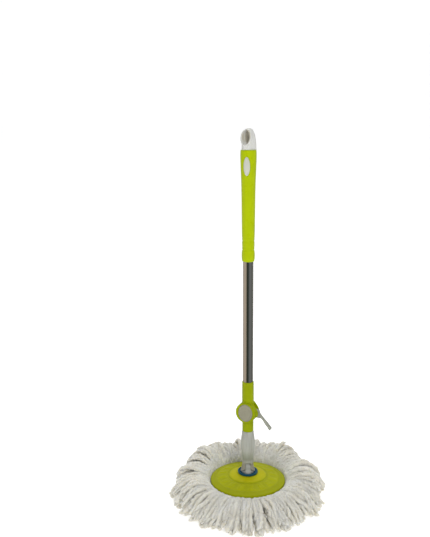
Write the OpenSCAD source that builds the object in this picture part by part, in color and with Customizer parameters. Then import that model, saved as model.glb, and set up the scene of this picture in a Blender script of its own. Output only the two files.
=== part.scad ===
// Telescopic spin mop with a press-to-spin pole, a tilting and swivelling head and a round yarn refill.
// Millimetres, +Z up. The origin is on the floor, on the axis of the pole. The lock's round boss faces -Y and its lever is on +X.

/* [Head] */
// Outside diameter of the spread yarn
fringe_d = 334; // [320:1:340]
// Highest point of the yarn above the floor
fringe_h = 61; // [52:0.5:62]
// Diameter of the domed plate
disc_d = 166; // [162:1:168]
// Height of the plate's rim above the floor
rim_z = 40; // [39:0.5:41]
// Diameter of the bearing dish under the pole's foot
dish_d = 44.5; // [42:0.5:45]

/* [Connector] */
// Height of the tilt pin above the floor
pin_z = 70; // [69:0.5:71]
// Widest diameter of the socket's barrel
barrel_d = 30.6; // [28:0.2:32]
// Diameter of the foot at its flared bottom
foot_d = 32; // [31:0.2:32.6]
// Turn of the tilt pin about the pole, from the lock's sideways direction
foot_turn = 24; // [0:1:40]

/* [Pole] */
// Outside diameter of the upper tube
upper_d = 22; // [22:0.1:22.4]
// Inside diameter of the upper tube
upper_bore = 20.6; // [20.5:0.1:20.7]
// Outside diameter of the lower tube
lower_d = 19; // [18.8:0.1:19]
// Inside diameter of the lower tube
lower_bore = 17.8; // [17.6:0.1:18]
// Top of the lower tube above the floor
lower_top = 586; // [560:1:600]
// Width of the twisted rod
rod_w = 8; // [7:0.1:8.2]
// Thickness of the twisted rod
rod_t = 1.8; // [1.5:0.1:2]
// Length of one full turn of the rod
rod_pitch = 60; // [55:1:80]

/* [Lock] */
// Bottom of the lock collar above the floor
collar_z = 153.3; // [153.2:0.1:154]
// Top of the lock collar above the floor
collar_top = 267; // [262:1:272]
// Height of the centre of the round boss
boss_z = 199; // [197:1:200]
// Diameter of the round boss
boss_d = 45.4; // [44:0.2:46]
// Angle of the open lever's arm below the horizontal
lever_rest = 49.3; // [45:0.1:55]

/* [Grip] */
// Bottom of the grip above the floor
grip_z = 533; // [525:1:540]
// Top of the grip above the floor
grip_top = 765; // [762:1:768]
// Top of the hanging cap above the floor
cap_top = 810; // [806:1:812]
// Turn of the grip about the pole, from the lock's front
grip_turn = 9; // [0:1:20]
// Turn of the hanging cap about the pole, from the lock's front
cap_turn = -3; // [-6:1:6]

/* [Hidden] */
$fn = 96;

lime = [0.66, 0.78, 0.05];
lime_dark = [0.60, 0.65, 0.06];
white = [0.88, 0.88, 0.85];
steel = [0.62, 0.62, 0.60];
dark_blue = [0.02, 0.29, 0.42];

hub_z = rim_z + 13;            // top face of the plate's hub
dish_z = hub_z + 0.3;          // underside of the bearing dish
dish_top = hub_z + 5.5;        // top of the dish's rim
knuckle_r = 9.2;               // round top of the tongue, about the pin
ear_r = 12.3;                  // radius of the foot's ears about the pin
slot_top = pin_z + knuckle_r + 0.8;
sock_z = 90;                   // bottom of the socket in the connector
screw_z = 140;                 // its screw
tube_z = collar_z + 58.7;      // bottom of the upper tube, inside the collar
tube_top = grip_top - 6;       // top of the upper tube, inside the grip
nut_z = lower_top + 4.6;       // underside of the drive nut
rod_z = 228;                   // lower end of the twisted rod
rod_top = 747;                 // upper end of the twisted rod, in its anchor
anchor_z = 727;                // underside of the anchor plug
apin_z = 737;                  // height of the anchor's cross pin
lev = [19.5, 197.5];           // lever pivot, as x and z
cam_r = 8.2;                   // lever's cam
cam_e = 0.15;                  // its eccentricity
arm_off = 4.6;                 // arm's centre line from the pivot
arm_len = 46.8;                // arm's tip from the foot of that line
arm_w = 7.6;                   // arm's width along the pin
paddle_w = 11;                 // width of the arm's outer half
badge_z = 732;
hole_z = 791.2;

// A solid of revolution about an axis along X through the pin, from points of radius and x
module about_x(pts) rotate([0, 90, 0]) rotate_extrude() polygon(pts);
// The same about an axis along Y, from points of radius and depth in front of the axis
module about_y(pts) rotate([90, 0, 0]) rotate_extrude() polygon(pts);

// ---- Head ----

module yarn_fringe() color([0.86, 0.85, 0.81]) {
  r = fringe_d / 2;
  rotate_extrude() polygon([
    [0, 0], [r - 16, 0], [r - 6, 3.5], [r - 1, 10], [r, 17], [r - 3, 29], [r - 9, 42],
    [r - 18, 54], [r - 27, fringe_h], [r - 38, fringe_h], [r - 48, 56.5], [r - 58, 50.5],
    [r - 68, 46.5], [r - 76, 43], [disc_d / 2 + 1.5, rim_z - 1], [disc_d / 2 + 1.2, 20], [0, 20]]);
}

module mop_disc() color(lime_dark) {
  r = disc_d / 2;
  difference() {
    union() {
      // domed plate with a groove round its inner dome and a turned-down rim
      rotate_extrude() polygon([
        [9, hub_z - 3.4], [22, hub_z - 3.4], [26, hub_z - 4.6], [34, hub_z - 7.6], [38, hub_z - 9],
        [50, hub_z - 11.2], [74, rim_z - 2.2], [r - 2.2, rim_z - 3], [r - 2.2, rim_z - 8.5],
        [r, rim_z - 8.5], [r, rim_z - 1.8], [r - 1.4, rim_z - 0.4],
        [r - 12.6, rim_z + 3.3], [r - 14.6, rim_z + 3], [r - 16.5, rim_z + 3.9], [52, hub_z - 6], [45.8, hub_z - 4.9],
        [43, hub_z - 5.5], [40.5, hub_z - 3.8], [28, hub_z - 0.8], [23.4, hub_z], [9, hub_z]]);
      // hub sleeve that the spindle turns in
      difference() {
        translate([0, 0, 37.6]) cylinder(r = 12, h = hub_z - 39.6);
        translate([0, 0, 30]) cylinder(r = 9, h = 40);
      }
      // snap skirt for the refill
      rotate_extrude() polygon([[55.5, 26], [57.6, 26], [58.4, 27.2], [57.6, 28.6], [57.6, hub_z - 11.9], [55.5, hub_z - 11.6]]);
      // ribs under the plate
      for (a = [0:30:330]) rotate([0, 0, a]) translate([11.6, -0.8, 38]) cube([25, 1.6, hub_z - 47]);
      // low raised pads on the outer zone
      for (a = [11.25:22.5:350]) rotate([0, 0, a]) translate([51.5, -4.2, rim_z + 1.5]) cube([12, 8.4, 5]);
    }
    translate([0, 0, 30]) cylinder(r = 8.06, h = 40);
  }
}

module refill_ring() color([0.80, 0.82, 0.80])
  rotate_extrude() polygon([[58.8, 24.4], [80, 24.4], [80, 27], [76, 27], [76, 28.6], [62, 28.6], [62, 30.4], [57.7, 30.4], [57.7, 28.8], [58.8, 27.6]]);

module refill_backing() color([0.80, 0.82, 0.80])
  difference() {
    translate([0, 0, 20]) cylinder(r = 81, h = 4.4);
    translate([0, 0, 19]) cylinder(r = 60, h = 7);
    for (a = [0:20:340]) rotate([0, 0, a]) translate([70, 0, 19]) cylinder(r = 3.2, h = 7);
  }

// ---- Swivel ----

module swivel_plate() color(dark_blue)
  rotate_extrude() polygon([
    [8, dish_z], [dish_d / 2 - 1.2, dish_z], [dish_d / 2, dish_z + 1.2], [dish_d / 2, dish_top - 1],
    [dish_d / 2 - 1, dish_top], [dish_d / 2 - 3, dish_top], [dish_d / 2 - 4.6, dish_z + 2.6], [8, dish_z + 2.6]]);

module swivel_knuckle() color(white)
  rotate([0, 0, foot_turn]) difference() {
    union() {
      translate([0, 0, 36.6]) cylinder(r = 8, h = dish_z + 3 - 36.6);
      translate([0, 0, dish_z + 2.6]) cylinder(r = 12, h = 1.3);
      // low skirt that closes the foot's bell, cut away round the ears
      difference() {
        rotate([0, 0, 35]) rotate_extrude() polygon([[11.5, 55.95], [14.2, 55.95], [14.5, 57.4], [14.2, 59.6], [13.6, 61.6], [12.9, 62.3], [11.5, 62.3]]);
        translate([-30, 0, pin_z]) rotate([25, 0, 0]) rotate([0, 90, 0]) cylinder(r = ear_r + 0.45, h = 60);
      }
      // tongue, flared to the front and back so that it closes the foot's slot
      intersection() {
        rotate([0, 0, 90]) translate([0, 5.7, 0]) rotate([90, 0, 0]) linear_extrude(11.4) polygon([
          [-16.9, 55.95], [16.9, 55.95], [17, 57.6], [16.2, 59.6], [14.2, 62.4], [12.6, 65.2], [11.6, 68.4], [10.9, 70.3], [9.1, 72.6],
          [-9.1, 72.6], [-10.9, 70.3], [-11.6, 68.4], [-12.6, 65.2], [-14.2, 62.4], [-16.2, 59.6], [-17, 57.6]]);
        rotate([0, 0, 20]) cylinder(r = 16.7, h = 200);
      }
      translate([-5.7, 0, pin_z]) rotate([0, 90, 0]) cylinder(r = knuckle_r, h = 11.4);
    }
    translate([-10, 0, pin_z]) rotate([0, 90, 0]) cylinder(r = 2.56, h = 20);
    translate([0, 0, 36]) cylinder(r = 2, h = 16);
  }

module swivel_washer() color(steel)
  difference() {
    translate([0, 0, 35]) cylinder(r = 11.5, h = 1.6);
    translate([0, 0, 34]) cylinder(r = 2.2, h = 4);
  }

module swivel_screw() color(steel) {
  translate([0, 0, 35]) cylinder(r = 1.98, h = 16);
  difference() {
    translate([0, 0, 32.2]) cylinder(r = 4.2, h = 2.8);
    for (a = [0, 90]) rotate([0, 0, a]) translate([-2.4, -0.5, 31]) cube([4.8, 1, 2.6]);
  }
}

// ---- Lower pole ----

module foot() {
  // bell-shaped foot in two ears, round about the pin so that the pole can tilt over the dish
  w = foot_d / 2;
  intersection() {
    rotate([0, 0, 35]) rotate_extrude() polygon([
      [0, 56], [w, 56], [w, 60.3], [w - 1.1, 63.2], [w - 2.2, 66.4], [w - 3.7, 73.6], [w - 4.25, 79], [w - 4.7, 84], [0, 84]]);
    union() {
      translate([-30, 0, pin_z]) rotate([0, 90, 0]) cylinder(r = ear_r, h = 60);
      translate([-30, -10.7, pin_z]) cube([60, 21.4, 16]);
    }
  }
}

module pole_connector() color([0.80, 0.82, 0.80])
  difference() {
    union() {
      // socket for the lower tube
      rotate_extrude() polygon([
        [0, 78.2], [12.2, 78.2], [12.2, 85], [12.7, 92], [13.7, 101], [14.7, 110], [barrel_d / 2, 120], [barrel_d / 2, 126],
        [14.6, 136], [13.6, 144], [12.6, 150.6], [12.1, 152], [11.2, 153], [lower_d / 2, 153], [lower_d / 2, sock_z], [0, sock_z]]);
      rotate([0, 0, foot_turn]) difference() {
        foot();
        // slot for the tongue, and the tilt pin's hole
        translate([-6, -30, pin_z - 20]) cube([12, 60, 20 + slot_top - pin_z]);
        translate([-30, 0, pin_z]) rotate([0, 90, 0]) cylinder(r = 2.5, h = 60);
      }
      // ribs along the barrel
      for (a = [0:30:330]) rotate([0, 0, a + 15]) translate([11, -0.7, 106.5]) cube([barrel_d / 2 + 0.25 - 11, 1.4, 25]);
    }
    // slot's roof, cut into the barrel
    rotate([0, 0, foot_turn]) translate([-6, -30, pin_z + 4]) cube([12, 60, slot_top - pin_z - 4]);
    // screw at the back
    translate([0, 8, screw_z]) rotate([-90, 0, 0]) cylinder(r = 1.75, h = 5);
    translate([0, 12.4, screw_z]) rotate([-90, 0, 0]) cylinder(r = 3.4, h = 6);
  }

module yoke_pin() color(steel)
  rotate([0, 0, foot_turn]) translate([3.6 - foot_d / 2, 0, pin_z]) rotate([0, 90, 0]) cylinder(r = 2.5, h = foot_d - 7.2);

module lower_tube() color(steel)
  difference() {
    translate([0, 0, sock_z]) cylinder(r = lower_d / 2, h = lower_top - sock_z);
    translate([0, 0, sock_z - 1]) cylinder(r = lower_bore / 2, h = lower_top);
    translate([0, 5, screw_z]) rotate([-90, 0, 0]) cylinder(r = 1.75, h = 20);
  }

module connector_screw() color(steel)
  translate([0, 0, screw_z]) rotate([-90, 0, 0]) difference() {
    union() {
      translate([0, 0, 7.5]) cylinder(r = 1.75, h = 5);
      translate([0, 0, 12.4]) cylinder(r = 3.2, h = 1.8);
    }
    for (a = [0, 90]) rotate([0, 0, a]) translate([-2, -0.4, 13.2]) cube([4, 0.8, 2]);
  }

module teeth(r0, r1, h, up) {
  n = 10;
  for (i = [0:n - 1]) rotate([0, 0, i * 360 / n]) translate([r0, 0, 0]) rotate([90, 0, 90])
    linear_extrude(r1 - r0) polygon(up ? [[-1.2, -0.4], [1.2, -0.4], [1.2, h], [-1.2, 0.2]] : [[-1.2, 0.4], [1.2, 0.4], [1.2, -0.2], [-1.2, -h]]);
}

module clutch_plug() color([0.15, 0.15, 0.16])
  difference() {
    union() {
      translate([0, 0, lower_top - 16]) cylinder(r = lower_bore / 2, h = 16);
      translate([0, 0, lower_top]) cylinder(r = lower_d / 2 - 0.1, h = 2);
      translate([0, 0, lower_top + 2]) teeth(5.9, 8.5, 1.2, true);
    }
    translate([0, 0, lower_top - 20]) cylinder(r = 5.4, h = 40);
  }

// ---- Inside the telescope ----

module guide_bush() color([0.15, 0.15, 0.16])
  difference() {
    translate([0, 0, lower_top - 26]) cylinder(r = upper_bore / 2 - 0.06, h = 46);
    translate([0, 0, lower_top - 30]) cylinder(r = lower_d / 2 + 0.06, h = 30 + 16);
    translate([0, 0, lower_top]) cylinder(r = 5.4, h = 40);
  }

module strip(w, t, z0, z1, step) {
  // flat, slightly crowned bar twisted by one turn in rod_pitch, whose broad faces face Y at the anchor's pin
  x = [for (k = [-2:2]) k * w / 4];
  rotate([0, 0, (z0 - apin_z) * 360 / rod_pitch])
    translate([0, 0, z0])
      linear_extrude(height = z1 - z0, twist = -(z1 - z0) * 360 / rod_pitch, slices = ceil((z1 - z0) / step), $fn = 4)
        polygon(concat([for (k = x) [k, -t / 2 + 0.08 * pow(2 * k / w, 2)]], [for (k = x) [-k, t / 2 - 0.08 * pow(2 * k / w, 2)]]));
}

module drive_nut() color([0.75, 0.35, 0.05])
  difference() {
    union() {
      translate([0, 0, nut_z]) cylinder(r = 9.2, h = 9);
      translate([0, 0, nut_z]) teeth(5.9, 8.5, 1.0, false);
    }
    translate([0, 0, nut_z + 3]) cylinder(r = 5, h = 8);
    strip(rod_w + 0.8, rod_t + 0.8, nut_z - 2, nut_z + 4, 1);
  }

// ---- Upper pole ----

module upper_tube() color(steel)
  difference() {
    translate([0, 0, tube_z]) cylinder(r = upper_d / 2, h = tube_top - tube_z);
    translate([0, 0, tube_z - 1]) cylinder(r = upper_bore / 2, h = 700);
    translate([0, 0, apin_z]) rotate([90, 0, 0]) cylinder(r = 1.5, h = 40, center = true);
    translate([0, 5, 250]) rotate([-90, 0, 0]) cylinder(r = 1.6, h = 20);
  }

module twisted_rod() color(steel)
  difference() {
    strip(rod_w, rod_t, rod_z, rod_top, 2.5);
    translate([0, 0, apin_z]) rotate([90, 0, 0]) cylinder(r = 1.5, h = 40, center = true);
  }

module rod_stop() color(steel)
  translate([0, 0, rod_z - 3]) cylinder(r = 6, h = 3);

module rod_anchor() color([0.15, 0.15, 0.16])
  difference() {
    translate([0, 0, anchor_z]) cylinder(r = upper_bore / 2, h = 24);
    translate([0, 0, anchor_z - 1]) cylinder(r = rod_w / 2 + 0.3, h = rod_top - anchor_z + 1);
    translate([0, 0, apin_z]) rotate([90, 0, 0]) cylinder(r = 1.5, h = 40, center = true);
  }

module anchor_pin() color(steel)
  translate([0, 0, apin_z]) rotate([90, 0, 0]) cylinder(r = 1.5, h = 21.6, center = true);

// Rings of the grip's shell: height, half width and half depth
GRIP = [[grip_z, 11.9, 11.9], [grip_z + 0.6, 12.5, 12.5], [grip_z + 2.2, 12.9, 12.8], [grip_z + 30, 13.0, 12.9],
        [grip_z + 62, 13.5, 13.4], [grip_z + 94, 13.9, 14.0], [grip_z + 122, 14.2, 14.5], [grip_z + 146, 14.5, 15.2],
        [grip_z + 166, 14.9, 16.0], [grip_z + 184, 15.6, 17.0], [grip_z + 200, 16.2, 17.9], [grip_z + 214, 16.6, 18.4],
        [grip_top - 4, 16.6, 18.3], [grip_top - 1.6, 16.5, 18.0], [grip_top - 0.5, 16.1, 17.5], [grip_top, 15.5, 16.9]];
// Rings of the cap's dome
CAP = [[grip_top, 15.3, 16.6], [grip_top + 2, 15.2, 16.4], [grip_top + 9.4, 14.9, 15.9], [grip_top + 17.8, 14.3, 14.9],
       [grip_top + 25, 13.4, 13.6], [grip_top + 31.4, 12.2, 12.2], [grip_top + 36.6, 10.5, 10.4],
       [grip_top + 40.8, 8.2, 8.2], [grip_top + 43.4, 5.3, 5.3], [cap_top, 1.8, 1.8]];

// Shell through oval rings, grown outwards by d and made egg-shaped, narrow at the front, by egg
module oval_loft(rings, d = 0, n = 48, egg = 0) {
  m = len(rings);
  pts = [for (k = rings) for (i = [0:n - 1]) [(k[1] + d) * cos(i * 360 / n) * (1 + egg * sin(i * 360 / n)), (k[2] + d) * sin(i * 360 / n), k[0]]];
  faces = concat(
    [[for (i = [0:n - 1]) i]],
    [for (j = [0:m - 2]) for (i = [0:n - 1]) [j * n + i, (j + 1) * n + i, (j + 1) * n + (i + 1) % n]],
    [for (j = [0:m - 2]) for (i = [0:n - 1]) [j * n + i, (j + 1) * n + (i + 1) % n, j * n + (i + 1) % n]],
    [[for (i = [n - 1:-1:0]) (m - 1) * n + i]]);
  polyhedron(points = pts, faces = faces, convexity = 4);
}

module badge_prism(d) rotate([90, 0, 0]) linear_extrude(40) scale([(6.9 + d) / 10, (19.2 + d) / 10]) circle(r = 10, $fn = 48);

module grip() color(lime)
  rotate([0, 0, grip_turn]) difference() {
    oval_loft(GRIP);
    translate([0, 0, grip_z - 5]) cylinder(r = upper_d / 2 + 0.02, h = tube_top - grip_z + 5);
    translate([0, 0, tube_top - 1]) cylinder(r = 10.4, h = 20);
    translate([0, 0, badge_z]) difference() {
      badge_prism(0.15);
      translate([0, 0, -badge_z]) oval_loft(GRIP, -1.5);
    }
  }

module grip_badge() color(white)
  rotate([0, 0, grip_turn]) intersection() {
    translate([0, 0, badge_z]) badge_prism(0);
    difference() {
      oval_loft(GRIP, 0.3);
      oval_loft(GRIP, -1.4);
    }
  }

module oval(a, b) scale([a / 10, b / 10]) circle(r = 10, $fn = 64);

module hanging_cap() color(white)
  rotate([0, 0, cap_turn]) difference() {
    union() {
      difference() {
        oval_loft(CAP, 0, 40, 0.2);
        // flat front and back faces that lean together
        for (s = [-1, 1]) translate([0, s * 36, hole_z + 8]) rotate([s * 11, 0, 0]) cube([60, 50, 76], center = true);
      }
      // oval lip round the front of the hole
      translate([0, -12.3, hole_z - 1.4]) rotate([79, 0, 0]) translate([0, 0, -5.6]) linear_extrude(7.8) oval(12.6, 17.6);
      translate([0, 0, grip_top - 14]) cylinder(r = 10.26, h = 14.6);
    }
    // hanging hole, right through from front to back
    translate([0, 30, hole_z]) rotate([90, 0, 0]) linear_extrude(60) oval(6.1, 14.6);
    // its mouth opens out towards the lip
    translate([-0.3, -12.3, hole_z - 1.4]) rotate([79, 0, 0]) translate([0, 0, -6.5]) linear_extrude(9.7, slices = 2, scale = [1.72, 1.15]) oval(5.6, 13.4);
    translate([0, 0, grip_top - 15]) cylinder(r = 8, h = 12);
  }

// ---- Lock ----

module ear2d() polygon([[8, boss_z + 24], [13, boss_z + 22], [17, boss_z + 17], [21.4, boss_z + 11], [24.6, boss_z + 3.5],
                        [25.8, boss_z - 2], [24.4, boss_z - 8], [19, boss_z - 12.6], [12, boss_z - 15.4], [8, boss_z - 16]]);

module lock_collar() color(lime_dark)
  difference() {
    union() {
      // sleeve, bored for the lower tube, its bush and the upper tube
      rotate_extrude() polygon([
        [11.6, collar_z], [12.3, collar_z + 0.7], [12.3, boss_z + 3], [12.7, boss_z + 3], [12.7, collar_top - 1.2], [12, collar_top],
        [upper_d / 2, collar_top], [upper_d / 2, tube_z], [lower_d / 2 + 0.25, tube_z], [lower_d / 2 + 0.25, collar_z + 12.7],
        [10.9, collar_z + 12.7], [10.9, collar_z]]);
      // round boss in front and the lever's cheek
      difference() {
        union() {
          translate([0, 0, boss_z]) about_y([
            [0, -2.4], [18.2, -2.4], [21.4, 0.8], [boss_d / 2, 4.2], [boss_d / 2, 14],
            [boss_d / 2 - 0.6, 15.4], [boss_d / 2 - 2, 16.2], [0, 16.2]]);
          translate([0, 7.4, 0]) rotate([90, 0, 0]) linear_extrude(13.4) ear2d();
        }
        translate([0, 0, boss_z - 40]) cylinder(r = 11.8, h = 80);
      }
    }
    // slot for the lever, open to the side, top and bottom
    translate([13, -4.3, boss_z - 30]) cube([30, 8.6, 60]);
    translate([7, -4.3, boss_z - 9.6]) cube([7, 8.6, 17.6]);
    // pin hole
    translate([lev[0], 8, lev[1]]) rotate([90, 0, 0]) cylinder(r = 1.75, h = 20);
    // seat of the front cap
    translate([0, -13, boss_z]) rotate([90, 0, 0]) linear_extrude(5) scale([16.4 / 20, 19.6 / 20]) circle(r = 20, $fn = 64);
    // rivet hole at the back
    translate([0, 8, 250]) rotate([-90, 0, 0]) cylinder(r = 1.6, h = 20);
  }

module front_cap() color([0.72, 0.69, 0.64])
  translate([0, -13, boss_z]) rotate([90, 0, 0]) union() {
    linear_extrude(3) scale([16.3 / 20, 19.5 / 20]) circle(r = 20, $fn = 64);
    translate([0, 0, 3]) linear_extrude(0.5) scale([15.1 / 20, 18.3 / 20]) circle(r = 20, $fn = 64);
  }

module collar_bush() color([0.15, 0.15, 0.16])
  difference() {
    translate([0, 0, collar_z]) cylinder(r = 10.9, h = 12.7);
    translate([0, 0, collar_z - 1]) cylinder(r = lower_d / 2 + 0.06, h = 16);
  }

module collar_rivet() color(steel)
  translate([0, 0, 250]) rotate([-90, 0, 0]) union() {
    translate([0, 0, 10.4]) cylinder(r = 1.6, h = 2.3);
    translate([0, 0, 12.7]) cylinder(r = 2.8, h = 1);
  }

module lever_pin() color(steel)
  translate([lev[0], 7.2, lev[1]]) rotate([90, 0, 0]) cylinder(r = 1.75, h = 19);

module lock_lever() color([0.86, 0.87, 0.84])
  translate([lev[0], 0, lev[1]]) rotate([90, 0, 0]) difference() {
    union() {
      translate([cam_e, 0, -arm_w / 2]) cylinder(r = cam_r, h = arm_w);
      // thick root, arm and bent tip, with the arm's outer side up
      rotate([0, 0, -lever_rest]) translate([0, 0, -arm_w / 2]) linear_extrude(arm_w)
        polygon([[-1, arm_off - 2], [0, arm_off + 1.6], [arm_len - 2.4, arm_off + 1.6], [arm_len + 0.4, arm_off + 0.5],
                 [arm_len + 0.9, arm_off - 1.2], [arm_len - 0.4, arm_off - 2.5], [arm_len - 3, arm_off - 2.4], [arm_len - 6.4, arm_off - 1.6],
                 [18, arm_off - 1.6], [14.5, 1.9], [11.5, -2], [7.5, -6.4], [3.5, -8.9], [1, -6]]);
      // the arm's outer half widens into a thumb paddle
      rotate([0, 0, -lever_rest]) translate([0, 0, -paddle_w / 2]) linear_extrude(paddle_w)
        polygon([[29, arm_off - 1.55], [29, arm_off + 1.55], [arm_len - 2.4, arm_off + 1.55], [arm_len + 0.35, arm_off + 0.45],
                 [arm_len + 0.85, arm_off - 1.2], [arm_len - 0.4, arm_off - 2.45], [arm_len - 3, arm_off - 2.35], [arm_len - 6.4, arm_off - 1.55]]);
    }
    translate([0, 0, -20]) cylinder(r = 1.81, h = 40);
  }

module clamp_shoe() color([0.15, 0.15, 0.16])
  difference() {
    translate([9, -4, lev[1] - 6.5]) cube([lev[0] - cam_r + cam_e - 0.05 - 9, 8, 13]);
    translate([0, 0, lev[1] - 10]) cylinder(r = lower_d / 2 + 0.3, h = 20);
  }

yarn_fringe();
mop_disc();
refill_ring();
refill_backing();
swivel_plate();
swivel_knuckle();
swivel_washer();
swivel_screw();
pole_connector();
yoke_pin();
lower_tube();
connector_screw();
clutch_plug();
guide_bush();
drive_nut();
upper_tube();
twisted_rod();
rod_stop();
rod_anchor();
anchor_pin();
grip();
grip_badge();
hanging_cap();
lock_collar();
front_cap();
collar_bush();
collar_rivet();
lever_pin();
lock_lever();
clamp_shoe();
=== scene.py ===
import math

import bmesh
import bpy
import numpy as np
from mathutils import Matrix, Vector


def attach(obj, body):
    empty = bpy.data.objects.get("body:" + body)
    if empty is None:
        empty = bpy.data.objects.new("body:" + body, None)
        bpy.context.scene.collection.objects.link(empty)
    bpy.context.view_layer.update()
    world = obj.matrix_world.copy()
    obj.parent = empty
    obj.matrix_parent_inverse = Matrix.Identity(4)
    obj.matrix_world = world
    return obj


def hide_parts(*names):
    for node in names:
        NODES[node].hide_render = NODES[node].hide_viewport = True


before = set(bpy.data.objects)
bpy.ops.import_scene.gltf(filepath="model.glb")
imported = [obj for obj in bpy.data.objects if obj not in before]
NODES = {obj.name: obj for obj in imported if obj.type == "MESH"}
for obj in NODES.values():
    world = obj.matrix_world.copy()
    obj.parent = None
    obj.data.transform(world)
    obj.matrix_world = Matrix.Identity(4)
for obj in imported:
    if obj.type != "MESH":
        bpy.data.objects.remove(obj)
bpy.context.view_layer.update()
RNG = np.random.default_rng(20)
MM = 0.001
TURN = math.radians(9.0)       # the grip is turned about the pole
FOOT_TURN = math.radians(24.0)  # and so are the tilt pin, its tongue and the foot
TAU = 2 * math.pi


# ---------------------------------------------------------------- materials

class Mat:
    """A node material with short helpers."""

    def __init__(self, name):
        self.m = bpy.data.materials.new(name)
        self.m.use_nodes = True
        self.t = self.m.node_tree
        self.t.nodes.clear()
        self.out = self.n("ShaderNodeOutputMaterial")
        self.b = self.n("ShaderNodeBsdfPrincipled")
        self.link(self.b.outputs[0], self.out.inputs[0])
        self.co = self.n("ShaderNodeTexCoord").outputs["Object"]

    def n(self, kind, **kw):
        node = self.t.nodes.new(kind)
        for k, v in kw.items():
            setattr(node, k, v)
        return node

    def link(self, a, b):
        self.t.links.new(a, b)

    def set(self, **kw):
        for k, v in kw.items():
            self.b.inputs[k.replace("_", " ")].default_value = v

    def noise(self, scale, detail=3.0, rough=0.55, co=None, dist=0.0):
        t = self.n("ShaderNodeTexNoise")
        t.inputs["Scale"].default_value = scale
        t.inputs["Detail"].default_value = detail
        t.inputs["Roughness"].default_value = rough
        t.inputs["Distortion"].default_value = dist
        self.link(co or self.co, t.inputs["Vector"])
        return t.outputs[0]

    def mapping(self, scale=(1, 1, 1), rot=(0, 0, 0), co=None):
        t = self.n("ShaderNodeMapping")
        t.inputs["Scale"].default_value = scale
        t.inputs["Rotation"].default_value = rot
        self.link(co or self.co, t.inputs["Vector"])
        return t.outputs[0]

    def ramp(self, fac, stops):
        t = self.n("ShaderNodeValToRGB")
        e = t.color_ramp.elements
        while len(e) < len(stops):
            e.new(0.5)
        for k, (p, c) in enumerate(stops):
            e[k].position = p
            e[k].color = tuple(c) + (1.0,) if len(c) == 3 else c
        self.link(fac, t.inputs[0])
        return t.outputs[0]

    def span(self, fac, a, b, lo=0.3, hi=0.7):
        t = self.n("ShaderNodeMapRange")
        t.inputs["From Min"].default_value = lo
        t.inputs["From Max"].default_value = hi
        t.inputs["To Min"].default_value = a
        t.inputs["To Max"].default_value = b
        self.link(fac, t.inputs["Value"])
        return t.outputs[0]

    def mix(self, fac, a, b, blend="MIX"):
        t = self.n("ShaderNodeMix", data_type="RGBA", blend_type=blend)
        if isinstance(fac, float):
            t.inputs[0].default_value = fac
        else:
            self.link(fac, t.inputs[0])
        for k, v in ((6, a), (7, b)):
            if isinstance(v, tuple):
                t.inputs[k].default_value = v + (1.0,)
            else:
                self.link(v, t.inputs[k])
        return t.outputs[2]

    def math(self, op, a, b=None):
        t = self.n("ShaderNodeMath", operation=op)
        for k, v in ((0, a), (1, b)):
            if v is None:
                continue
            if isinstance(v, (int, float)):
                t.inputs[k].default_value = v
            else:
                self.link(v, t.inputs[k])
        return t.outputs[0]

    def xyz(self, co=None):
        t = self.n("ShaderNodeSeparateXYZ")
        self.link(co or self.co, t.inputs[0])
        return t.outputs

    def colour(self, c):
        self.link(c, self.b.inputs["Base Color"])

    def rough(self, r):
        self.link(r, self.b.inputs["Roughness"])

    def bump(self, height, strength=0.3, distance=0.0004):
        t = self.n("ShaderNodeBump")
        t.inputs["Strength"].default_value = strength
        t.inputs["Distance"].default_value = distance
        self.link(height, t.inputs["Height"])
        self.link(t.outputs[0], self.b.inputs["Normal"])


def plastic(name, c, rough=0.3, spread=0.08, grain=0.15, coat=0.0, ior=1.5, soft=0.0, gloss=0.5, tint=None):
    """Moulded plastic: a slight mottle in colour and gloss, and a fine moulded grain."""
    m = Mat(name)
    lo = tuple(v * (1 - spread) for v in c)
    hi = tuple(min(1.0, v * (1 + spread)) for v in c)
    m.colour(m.ramp(m.noise(38, 4), [(0.3, lo), (0.7, hi)]))
    m.rough(m.span(m.noise(90, 3), rough * 0.85, rough * 1.2))
    m.bump(m.noise(900, 2), grain, 0.00006)
    m.set(IOR=ior)
    m.b.inputs["Specular IOR Level"].default_value = gloss
    if tint:
        m.b.inputs["Specular Tint"].default_value = tint + (1.0,)
    if coat:
        m.b.inputs["Coat Weight"].default_value = coat
        m.b.inputs["Coat Roughness"].default_value = 0.12
    if soft:
        m.b.inputs["Subsurface Weight"].default_value = soft
        m.b.inputs["Subsurface Radius"].default_value = (0.004, 0.004, 0.003)
        m.b.inputs["Subsurface Scale"].default_value = 1.0
    return m.m


# ---------------------------------------------------------------- geometry helpers (millimetres in, metres out)

def make(name, verts, faces, mat, sharp=40.0, flip=False):
    me = bpy.data.meshes.new(name)
    v = np.asarray(verts, dtype=float) * MM
    me.from_pydata(v.tolist(), [], [list(map(int, f)) for f in faces])
    me.validate()
    if flip:
        me.flip_normals()
    me.materials.append(mat)
    me.polygons.foreach_set("use_smooth", [True] * len(me.polygons))
    if sharp:
        me.set_sharp_from_angle(angle=math.radians(sharp))
    me.update()
    o = bpy.data.objects.new(name, me)
    bpy.context.scene.collection.objects.link(o)
    return o


def grid_faces(nu, nv, close_u=False, close_v=False, off=0):
    u = np.arange(nu if close_u else nu - 1)
    v = np.arange(nv if close_v else nv - 1)
    U, V = np.meshgrid(u, v, indexing="ij")
    U2, V2 = (U + 1) % nu, (V + 1) % nv
    a = U * nv + V
    b = U2 * nv + V
    c = U2 * nv + V2
    d = U * nv + V2
    return (np.stack([a, b, c, d], -1).reshape(-1, 4) + off).tolist()


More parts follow.
